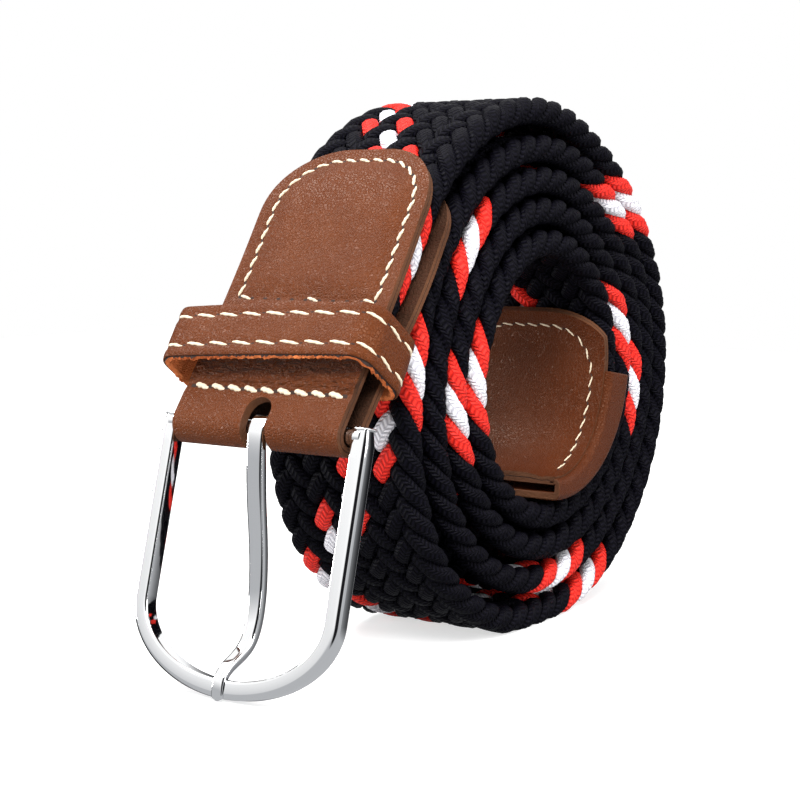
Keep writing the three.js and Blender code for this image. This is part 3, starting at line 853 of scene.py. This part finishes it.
def makeKeeper():
    share = keeper["place"]
    point, facing, thick = tabStations(np.array(share))
    curve, _, _ = tabStations(np.linspace(0, 1, 200))
    reach = np.linalg.norm(np.diff(curve, axis=0), axis=1).sum()
    fullest = tabStations(np.array(share + 0.65 * keeper["height"] / reach))[2]
    back = -(fullest + 4 * tab["gap"] + tab["leather"])
    front, side, r = keeper["front"], keeper["side"], keeper["corner"]
    centres = [(side - r, front - r), (-side + r, front - r), (-side + r, back + r), (side - r, back + r)]
    path, normals = [], []
    for k, (x, out) in enumerate(centres):
        turn = np.linspace(k, k + 1, 11) * math.pi / 2
        direction = np.stack([np.cos(turn), np.sin(turn)], -1)
        path.append(np.array([x, out]) + r * direction)
        normals.append(direction)
        end = np.array(centres[(k + 1) % 4]) + r * direction[-1]
        steps = np.linspace(0, 1, 180 if k % 2 == 0 else 40)[1:-1, None]
        path.append(path[-1][-1] * (1 - steps) + end * steps)
        normals.append(np.tile(direction[-1], (len(steps), 1)))
    path, normals = np.concatenate(path), np.concatenate(normals)
    frontness = np.clip(normals[:, 1], 0, 1) * (1 - (path[:, 0] / side) ** 2)
    path[:, 1] += keeper["bulge"] * frontness
    half = keeper["height"] / 2
    tilt = math.radians(keeper["tilt"])
    alongTab = np.array([facing[1], 0, -facing[0]])
    outward = np.array([facing[0], 0, facing[1]])
    across = np.array([0, -1.0, 0])
    acrossT = across * math.cos(tilt) + alongTab * math.sin(tilt)
    alongT = -across * math.sin(tilt) + alongTab * math.cos(tilt)
    centre = np.array([point[0], keeper["shift"], point[1]])

    def place(local, height):
        height = np.broadcast_to(height, len(local))
        return centre + local[:, :1] * acrossT + local[:, 1:] * outward + height[:, None] * alongT

    # The section goes down the grain side, round the lower edge, up the inside and back over the top.
    # Each row has the height, the depth into the leather, how ragged it is and its material.
    heights = np.linspace(half, -half, 17)
    fromRow = np.abs(heights) - (half - keeper["rowInset"])
    dips = keeper["dip"] * np.exp(-(fromRow / 0.55) ** 2)
    wall = keeper["leather"]
    fray = np.random.default_rng(5).normal(size=(4, len(path)))
    blur = [0.1, 0.25, 0.3, 0.25, 0.1]
    fray = np.stack([np.convolve(np.pad(f, 2, mode="wrap"), blur, "valid") for f in fray])
    profile = [(h, dip + 0.12 * (abs(h) > half - 0.1), 0, 0) for h, dip in zip(heights, dips)]
    # Material 3 marks the grooves along both edges, coloured with the near-black painted shade
    profile += [(-half - 0.12, 0.3, 0, 1), (-half + 0.05, 0.45, 0, 3)]
    profile += [(-half - 0.12, 0.65 + 0.2 * k, 0.3, 2) for k in range(5)]
    profile += [(-half + 0.1, wall, 0.1, 2), (0, wall, 0, 2), (half - 0.1, wall, 0, 2)]
    profile += [(half, wall - 0.15, 0, 2)]
    profile += [(half, 0.95, 0, 1), (half - 0.12, 0.85, 0, 3), (half, 0.75, 0, 1), (half, 0.25, 0, 1)]
    lines = []
    for k, (height, depth, ragged, _) in enumerate(profile):
        lines.append(place(path + normals * (wall - depth), height - ragged * np.abs(fray[k % 4]) * 1.6))
    around = len(lines)
    rings = np.stack(lines, 1)
    count = len(rings)
    i, j = np.meshgrid(np.arange(count), np.arange(around), indexing="ij")
    nextRing, nextLine = (i + 1) % count, (j + 1) % around
    quads = np.stack([
        i * around + j, i * around + nextLine, nextRing * around + nextLine, nextRing * around + j,
    ], -1).reshape(-1, 4)
    slots = np.tile([row[3] for row in profile], count)
    leathers = [tan, cutEdge, suede, recessShade]
    made = makeObject("keeper_leather", rings.reshape(-1, 3), quads.tolist(), leathers, slots=slots)
    made.data.set_sharp_from_angle(angle=math.radians(50))
    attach(made, "belt")
    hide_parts("keeper_loop")
    rows = []
    skin = path + normals * (wall - keeper["dip"])
    normal3 = normals[:, :1] * acrossT + normals[:, 1:] * outward
    for s in (-1, 1):
        rows.append((place(skin, s * (half - keeper["rowInset"])), normal3))
    stitchMeshes("keeper", rows, "belt", keeper["pitch"], 0.95)


makeKeeper()
print("keeper made")


# Tip cover: one piece of leather folded round the band's near edge, with the inner flap sewn down on it
tip = {
    "start": 4.335,
    "sheathStart": 4.44,
    "end": 4.68,
    "leather": 1.6,
    "wall": 1.3,
    "slot": 1.0,
    "corner": 14.5,
    "edgeRound": 1.45,
    "return": 2.6,
    "flapInset": 1.5,
    "stitchInset": 3.4,
    "crown": 0.4,
    "pitch": 3.1,
}
tipHalf = coil["bandWidth"] / 2 + tab["gap"] + tip["wall"]


def tipRoom(turn):
    thin = smooth(turn, tip["sheathStart"], tip["end"])
    return coil["bandThickness"] + (tip["slot"] - coil["bandThickness"]) * thin + 2 * tab["gap"]


def makeTipFlap():
    turn = np.concatenate([
        tip["start"] + 0.062 * (1 - np.cos(np.linspace(0, math.pi / 2, 20))),
        np.linspace(tip["start"] + 0.062, tip["end"], 60)[1:],
    ])
    point, facing = coilStations(turn)
    radius = np.linalg.norm(point[0] - np.array([0, coil["axisHeight"]]))
    left = np.maximum(tip["corner"] - (turn - tip["start"]) * 2 * math.pi * radius, 0)
    far = tipHalf - tip["corner"] + np.sqrt(tip["corner"] ** 2 - left ** 2)
    near = np.minimum(far, tipHalf - tip["flapInset"])
    shift = (far - near) / 2 - coil["telescope"] * turn
    flap = buildStrip(point, -facing, tipRoom(turn) - tab["gap"], (far + near) / 2, tip["leather"], shift)

    def lift(length, across):
        sideways = np.maximum(np.abs(across - 0.4) - (tipHalf - tip["corner"]), 0)
        upward = np.maximum(tip["corner"] - length, 0)
        inside = tip["corner"] - tip["stitchInset"] - np.hypot(sideways, upward)
        return tip["crown"] * smooth(inside, 0, 4) - 0.25 * np.exp(-(inside / 0.6) ** 2)

    made = stripObject("tip_flap", flap, 50, [darkTan, cutEdge, fleshSide, recessShade], lift=lift, bevel=0.3)
    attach(made, "belt")
    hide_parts("tip_cover")
    radius = tip["corner"] - tip["stitchInset"]
    middle = tipHalf - tip["corner"]
    bend = np.linspace(0, math.pi / 2, 20)
    side = np.linspace(flap["length"][-1] - 7, tip["corner"], 20)
    down, out = tip["corner"] - radius * np.sin(bend), middle + radius * np.cos(bend)
    length = np.concatenate([side, down, down[::-1]])
    across = np.concatenate([np.full(20, -middle - radius), -out, out[::-1]])
    keep = np.concatenate([[True], np.hypot(np.diff(length), np.diff(across)) > 0.01])
    length, across = length[keep], across[keep] + 0.4
    stitchMeshes("tip", [readStrip(flap, length, across, lift(length, across))], "belt", tip["pitch"], 0.62)


def roundedCorner(centre, radius, start, end, steps=7):
    turn = np.radians(np.linspace(start, end, steps))
    return np.array(centre) + radius * np.stack([np.cos(turn), np.sin(turn)], -1)


# The sheath's section is read anticlockwise from the end of its return under the flap. The first number
# goes across the band and the second one outwards.
def makeTipSheath():
    turn = np.linspace(tip["sheathStart"], tip["end"], 50)
    point, facing = coilStations(turn)
    room = tipRoom(turn)
    gap, wall, r = tab["gap"], tip["wall"], tip["edgeRound"]
    rings = []
    for k in range(len(turn)):
        inside = gap - room[k]
        top, bottom = gap + tip["leather"], inside - tip["leather"] + 0.35
        section = np.concatenate([
            [(-tipHalf + tip["return"], inside - 0.1), (-tipHalf + tip["return"], bottom)],
            roundedCorner((-tipHalf + r, bottom + r), r, -90, -180),
            roundedCorner((-tipHalf + r, top - r), r, 180, 90),
            roundedCorner((tipHalf - 0.3, top - 0.3), 0.3, 90, 0, 3),
            roundedCorner((tipHalf - 0.3, gap + 0.3), 0.3, 0, -90, 3),
            [(-tipHalf + wall, gap), (-tipHalf + wall, inside)],
        ])
        rings.append(np.stack([
            point[k, 0] + facing[k, 0] * section[:, 1],
            section[:, 0] - coil["telescope"] * turn[k],
            point[k, 1] + facing[k, 1] * section[:, 1],
        ], -1))
    sides = len(rings[0])
    faces = tubeFaces(len(rings), sides)
    made = makeObject("tip_sheath", np.concatenate(rings), faces, [darkTan, cutEdge],
                      slots=[0] * (len(faces) - 2) + [1, 1])
    made.data.set_sharp_from_angle(angle=math.radians(50))
    edge = made.modifiers.new("worn edges", "BEVEL")
    edge.width = 0.25 * mm
    edge.segments = 2
    edge.limit_method = "ANGLE"
    edge.angle_limit = math.radians(60)
    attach(made, "belt")
    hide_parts("tip_cover")


makeTipFlap()
makeTipSheath()
print("tip made")

# Buckle. In its own coordinates X runs along the bar, Y from the rounded end up to the bar and Z out of the
# front.
buckle = {
    "width": 46.0,
    "reach": 47.4,
    "limb": 3.3,
    "depth": 3.2,
    "heel": 1.7,
    "arch": 15.5,
    "lean": 74.9,
    "outerRound": 1.1,
    "innerRound": 0.6,
    "endRound": 0.45,
    "notchDepth": 0.9,
    "barRadius": 1.6,
}


def placeOnBar(local):
    lean = math.radians(buckle["lean"])
    x, y, z = np.asarray(local, float).T
    return np.stack([
        tab["bar"][0] + y * math.cos(lean) - z * math.sin(lean),
        -x,
        tab["bar"][1] + y * math.sin(lean) + z * math.cos(lean),
    ], -1)


# A rectangle with round corners, its front at +Y. It runs anticlockwise from the left back corner.
def roundedSection(width, depth, left, right, back):
    return np.concatenate([
        roundedCorner((back, -depth / 2 + back), back, 180, 270),
        roundedCorner((width - back, -depth / 2 + back), back, 270, 360),
        roundedCorner((width - right, depth / 2 - right), right, 0, 90, 9),
        roundedCorner((left, depth / 2 - left), left, 90, 180, 9),
    ])


def makeFrame():
    half, limb, arch = buckle["width"] / 2, buckle["limb"], buckle["arch"]
    bend = arch - buckle["reach"]
    r = buckle["endRound"]
    ease = np.linspace(0, math.pi / 2, 6)
    armEnd = buckle["heel"] - r
    armY = np.concatenate([armEnd + r * np.sin(ease), np.linspace(armEnd, bend, 14)[1:-1]])
    armInset = np.concatenate([r * (1 - np.cos(ease)), np.zeros(12)])
    turn = np.linspace(math.pi, 2 * math.pi, 110)
    outer = np.concatenate([
        np.stack([np.full(len(armY), -half), armY], -1),
        np.stack([half * np.cos(turn), bend + arch * np.sin(turn)], -1),
        np.stack([np.full(len(armY), half), armY[::-1]], -1),
    ])
    inner = np.concatenate([
        np.stack([np.full(len(armY), limb - half), armY], -1),
        np.stack([(half - limb) * np.cos(turn), bend + (arch - limb) * np.sin(turn)], -1),
        np.stack([np.full(len(armY), half - limb), armY[::-1]], -1),
    ])
    inset = np.concatenate([armInset, np.zeros(len(turn)), armInset[::-1]])
    rings = []
    for o, i, shrink in zip(outer, inner, inset):
        wide = np.linalg.norm(i - o)
        section = roundedSection(wide, buckle["depth"], buckle["outerRound"], buckle["innerRound"], 0.5)
        across = wide / 2 + (section[:, 0] - wide / 2) * (1 - 2 * shrink / wide)
        out = section[:, 1] * (1 - 2 * shrink / buckle["depth"])
        rings.append(np.column_stack([o + (i - o) / wide * across[:, None], out]))
    sides = len(rings[0])
    faces = tubeFaces(len(rings), sides)
    count = len(rings) * sides
    around = np.linspace(0, 2 * math.pi, 40, endpoint=False)
    x = half - limb / 2
    rodY, rodZ = buckle["barRadius"] * np.cos(around), buckle["barRadius"] * np.sin(around)
    rod = [np.stack([np.full(40, end), rodY, rodZ], -1) for end in (-x, x)]
    made = makeObject("frame_finish", placeOnBar(np.concatenate(rings)), faces, [chrome])
    notchRadius = 2.4
    along = np.array([-buckle["reach"] - 4, buckle["limb"] * 2.2 - buckle["reach"]])
    height = buckle["depth"] / 2 + notchRadius - buckle["notchDepth"]
    groove = [
        np.stack([notchRadius * np.cos(around), np.full(40, y), height + notchRadius * np.sin(around)], -1)
        for y in along
    ]
    cutWith(made, placeOnBar(np.concatenate(groove)), tubeFaces(2, 40), [chrome])
    made.data.set_sharp_from_angle(angle=math.radians(35))
    edge = made.modifiers.new("soft notch", "BEVEL")
    edge.width = 0.16 * mm
    edge.segments = 3
    edge.limit_method = "ANGLE"
    edge.angle_limit = math.radians(35)
    edge.harden_normals = True
    bar = makeObject("bar_finish", placeOnBar(np.concatenate(rod)), tubeFaces(2, 40), [chrome])
    bar.data.set_sharp_from_angle(angle=math.radians(35))
    for piece in (made, bar):
        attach(piece, "frame")
        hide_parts("buckle_frame")


prong = {
    "width": 3.6,
    "tipWidth": 2.4,
    "thickness": 2.0,
    "eye": 1.3,
    "bow": 5.4,
    "eyeStart": -70.0,
    "eyeTurn": 252.0,
}
# From the eye to the tip: share of the frame's reach, share of the bow, width from 1 to 0
prongRows = [
    (0.13, 0.2, 1), (0.26, -0.1, 0.95), (0.42, -0.56, 0.85), (0.58, -0.9, 0.7), (0.7, -1, 0.55),
    (0.8, -0.84, 0.4),
]
# Limbs past the inner edge of the frame's end, prong thicknesses from where the tip rests, width, thickness
prongTipRows = [
    (-1.09, -1.6, 0.25, 0.9), (-0.36, -0.05, 0.18, 0.8), (0.15, 0.25, 0.12, 0.65), (0.6, 0.05, 0.05, 0.5),
    (1.12, -0.05, 0, 0.35),
]


def makeProng():
    eyeMiddle = buckle["barRadius"] + tab["gap"] + prong["eye"] / 2
    tipOut = buckle["depth"] / 2 - buckle["notchDepth"] + tab["gap"] + prong["thickness"] / 4
    turn = np.radians(prong["eyeStart"] + np.linspace(0, 1, 19) * prong["eyeTurn"])
    eye = [-eyeMiddle * np.sin(turn), -eyeMiddle * np.cos(turn), np.ones(19), np.full(19, prong["eye"])]
    rows = np.column_stack(eye)
    shank = [(a * buckle["reach"], o * prong["bow"], w, prong["thickness"]) for a, o, w in prongRows]
    thickness = prong["thickness"]
    end = [
        (buckle["reach"] + (a - 1) * buckle["limb"], tipOut + o * thickness, w, k * thickness)
        for a, o, w, k in prongTipRows
    ]
    rows = np.concatenate([rows, shank, end])
    knots = np.concatenate([[0], np.cumsum(np.hypot(np.diff(rows[:, 0]), np.diff(rows[:, 1])))])
    at = np.linspace(0, knots[-1], 150)
    blur = np.exp(-0.5 * (np.arange(-12, 13) / 4.5) ** 2)
    blur /= blur.sum()
    columns = [curveThrough(knots, column, at) for column in rows.T]
    columns = [np.convolve(np.pad(c, 12, mode="reflect", reflect_type="odd"), blur, "valid") for c in columns]
    along, out, wide, thick = columns
    travel = unit(np.stack([np.gradient(out), -np.gradient(along)], -1))
    facing = np.stack([-travel[:, 1], travel[:, 0]], -1)
    rings = []
    last = at[-1] - at
    for k in range(len(at)):
        width = prong["tipWidth"] + (prong["width"] - prong["tipWidth"]) * wide[k]
        tuck = math.sqrt(max(0.04, 1 - max(0, 1 - last[k] / 0.9) ** 2))
        section = roundedSection(width, thick[k], 0.42 * thick[k], 0.42 * thick[k], 0.22 * thick[k])
        across = (section[:, 0] - width / 2) * tuck
        height = section[:, 1] * tuck
        y, z = -along[k] + facing[k, 1] * height, out[k] + facing[k, 0] * height
        rings.append(np.stack([across, y, z], -1))
    sides = len(rings[0])
    faces = tubeFaces(len(rings), sides)
    made = makeObject("prong_finish", placeOnBar(np.concatenate(rings)), faces, [chrome])
    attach(made, "prong")
    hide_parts("buckle_prong")


makeFrame()
makeProng()
print("buckle made")


# Floor and light
floorMaterial, floorTree, floorSurface = newMaterial("white floor", Roughness=0.8)
floorSurface.inputs["Base Color"].default_value = (0.62, 0.62, 0.62, 1)
floorSurface.inputs["Specular IOR Level"].default_value = 0.0
floorSurface.inputs["Emission Color"].default_value = (1, 1, 1, 1)
# The floor is left out of reflections, so the dark patches reach below the horizon
seenFloor = addNode(floorTree, "ShaderNodeLightPath")
floorGlow = maths(floorTree, "MULTIPLY", seenFloor.outputs["Is Camera Ray"], 0.62)
floorTree.links.new(floorGlow, floorSurface.inputs["Emission Strength"])
unseen = maths(floorTree, "SUBTRACT", 1.0, seenFloor.outputs["Is Glossy Ray"])
floorTree.links.new(unseen, floorSurface.inputs["Alpha"])
floorHalf = 700
floorCorners = [(x * floorHalf, y * floorHalf, 0) for x, y in ((-1, -1), (1, -1), (1, 1), (-1, 1))]
floor = makeObject("floor", floorCorners, [[0, 1, 2, 3]], [floorMaterial])

# Soft white room. Dark patches draw lines in the chrome: beside the camera, behind the belt, to the right.
world = bpy.data.worlds.new("studio")
bpy.context.scene.world = world
world.use_nodes = True
room = world.node_tree
toward = addNode(room, "ShaderNodeTexCoord").outputs["Generated"]
seen = addNode(room, "ShaderNodeLightPath")


def darkPatch(direction, core, rim):
    near = addNode(room, "ShaderNodeVectorMath", {0: toward, 1: direction}, operation="DOT_PRODUCT")
    return ramp(room, near.outputs["Value"], math.cos(math.radians(rim)), math.cos(math.radians(core)))


besideCamera = darkPatch((-0.62, -0.757, 0.207), 24, 34)
farBehind = darkPatch((0.29, 0.955, -0.06), 33, 46)
farRight = darkPatch((0.9, -0.42, -0.08), 9, 26)
patches = maths(room, "MAXIMUM", maths(room, "MAXIMUM", besideCamera, farBehind), farRight)
height = addNode(room, "ShaderNodeSeparateXYZ", {0: toward}).outputs["Z"]
wall = mixColour(room, ramp(room, height, -0.05, 0.3), (0.5, 0.51, 0.53, 1), (1.15, 1.15, 1.15, 1))
glossyGlow = mixColour(room, patches, wall, (0.012, 0.012, 0.014, 1))
softGlow = mixColour(room, seen.outputs["Is Glossy Ray"], (0.55, 0.55, 0.55, 1), glossyGlow)
backdrop = mixColour(room, seen.outputs["Is Camera Ray"], softGlow, (1, 1, 1, 1))
room.links.new(backdrop, room.nodes["Background"].inputs["Color"])


def areaLight(name, place, target, size, power):
    light = bpy.data.lights.new(name, "AREA")
    light.shape = "RECTANGLE"
    light.size, light.size_y = size
    light.energy = power
    made = bpy.data.objects.new(name, light)
    made.location = place
    made.rotation_euler = (Vector(target) - Vector(place)).to_track_quat("-Z", "Y").to_euler()
    bpy.context.scene.collection.objects.link(made)
    return made


bpy.context.scene.view_settings.view_transform = "Standard"
areaLight("key", (-0.45, -0.25, 0.62), (0, 0, 0.05), (0.35, 0.35), 9)
areaLight("side", (0.1, -0.75, 0.35), (0, 0, 0.05), (0.3, 0.5), 4)
areaLight("left", (-0.3, 0.63, 0.12), (0, 0, 0.05), (0.12, 0.3), 3)
areaLight("top", (-0.12, 0.5, 0.78), (0, 0, 0.05), (0.35, 0.35), 5)
print("stage set")
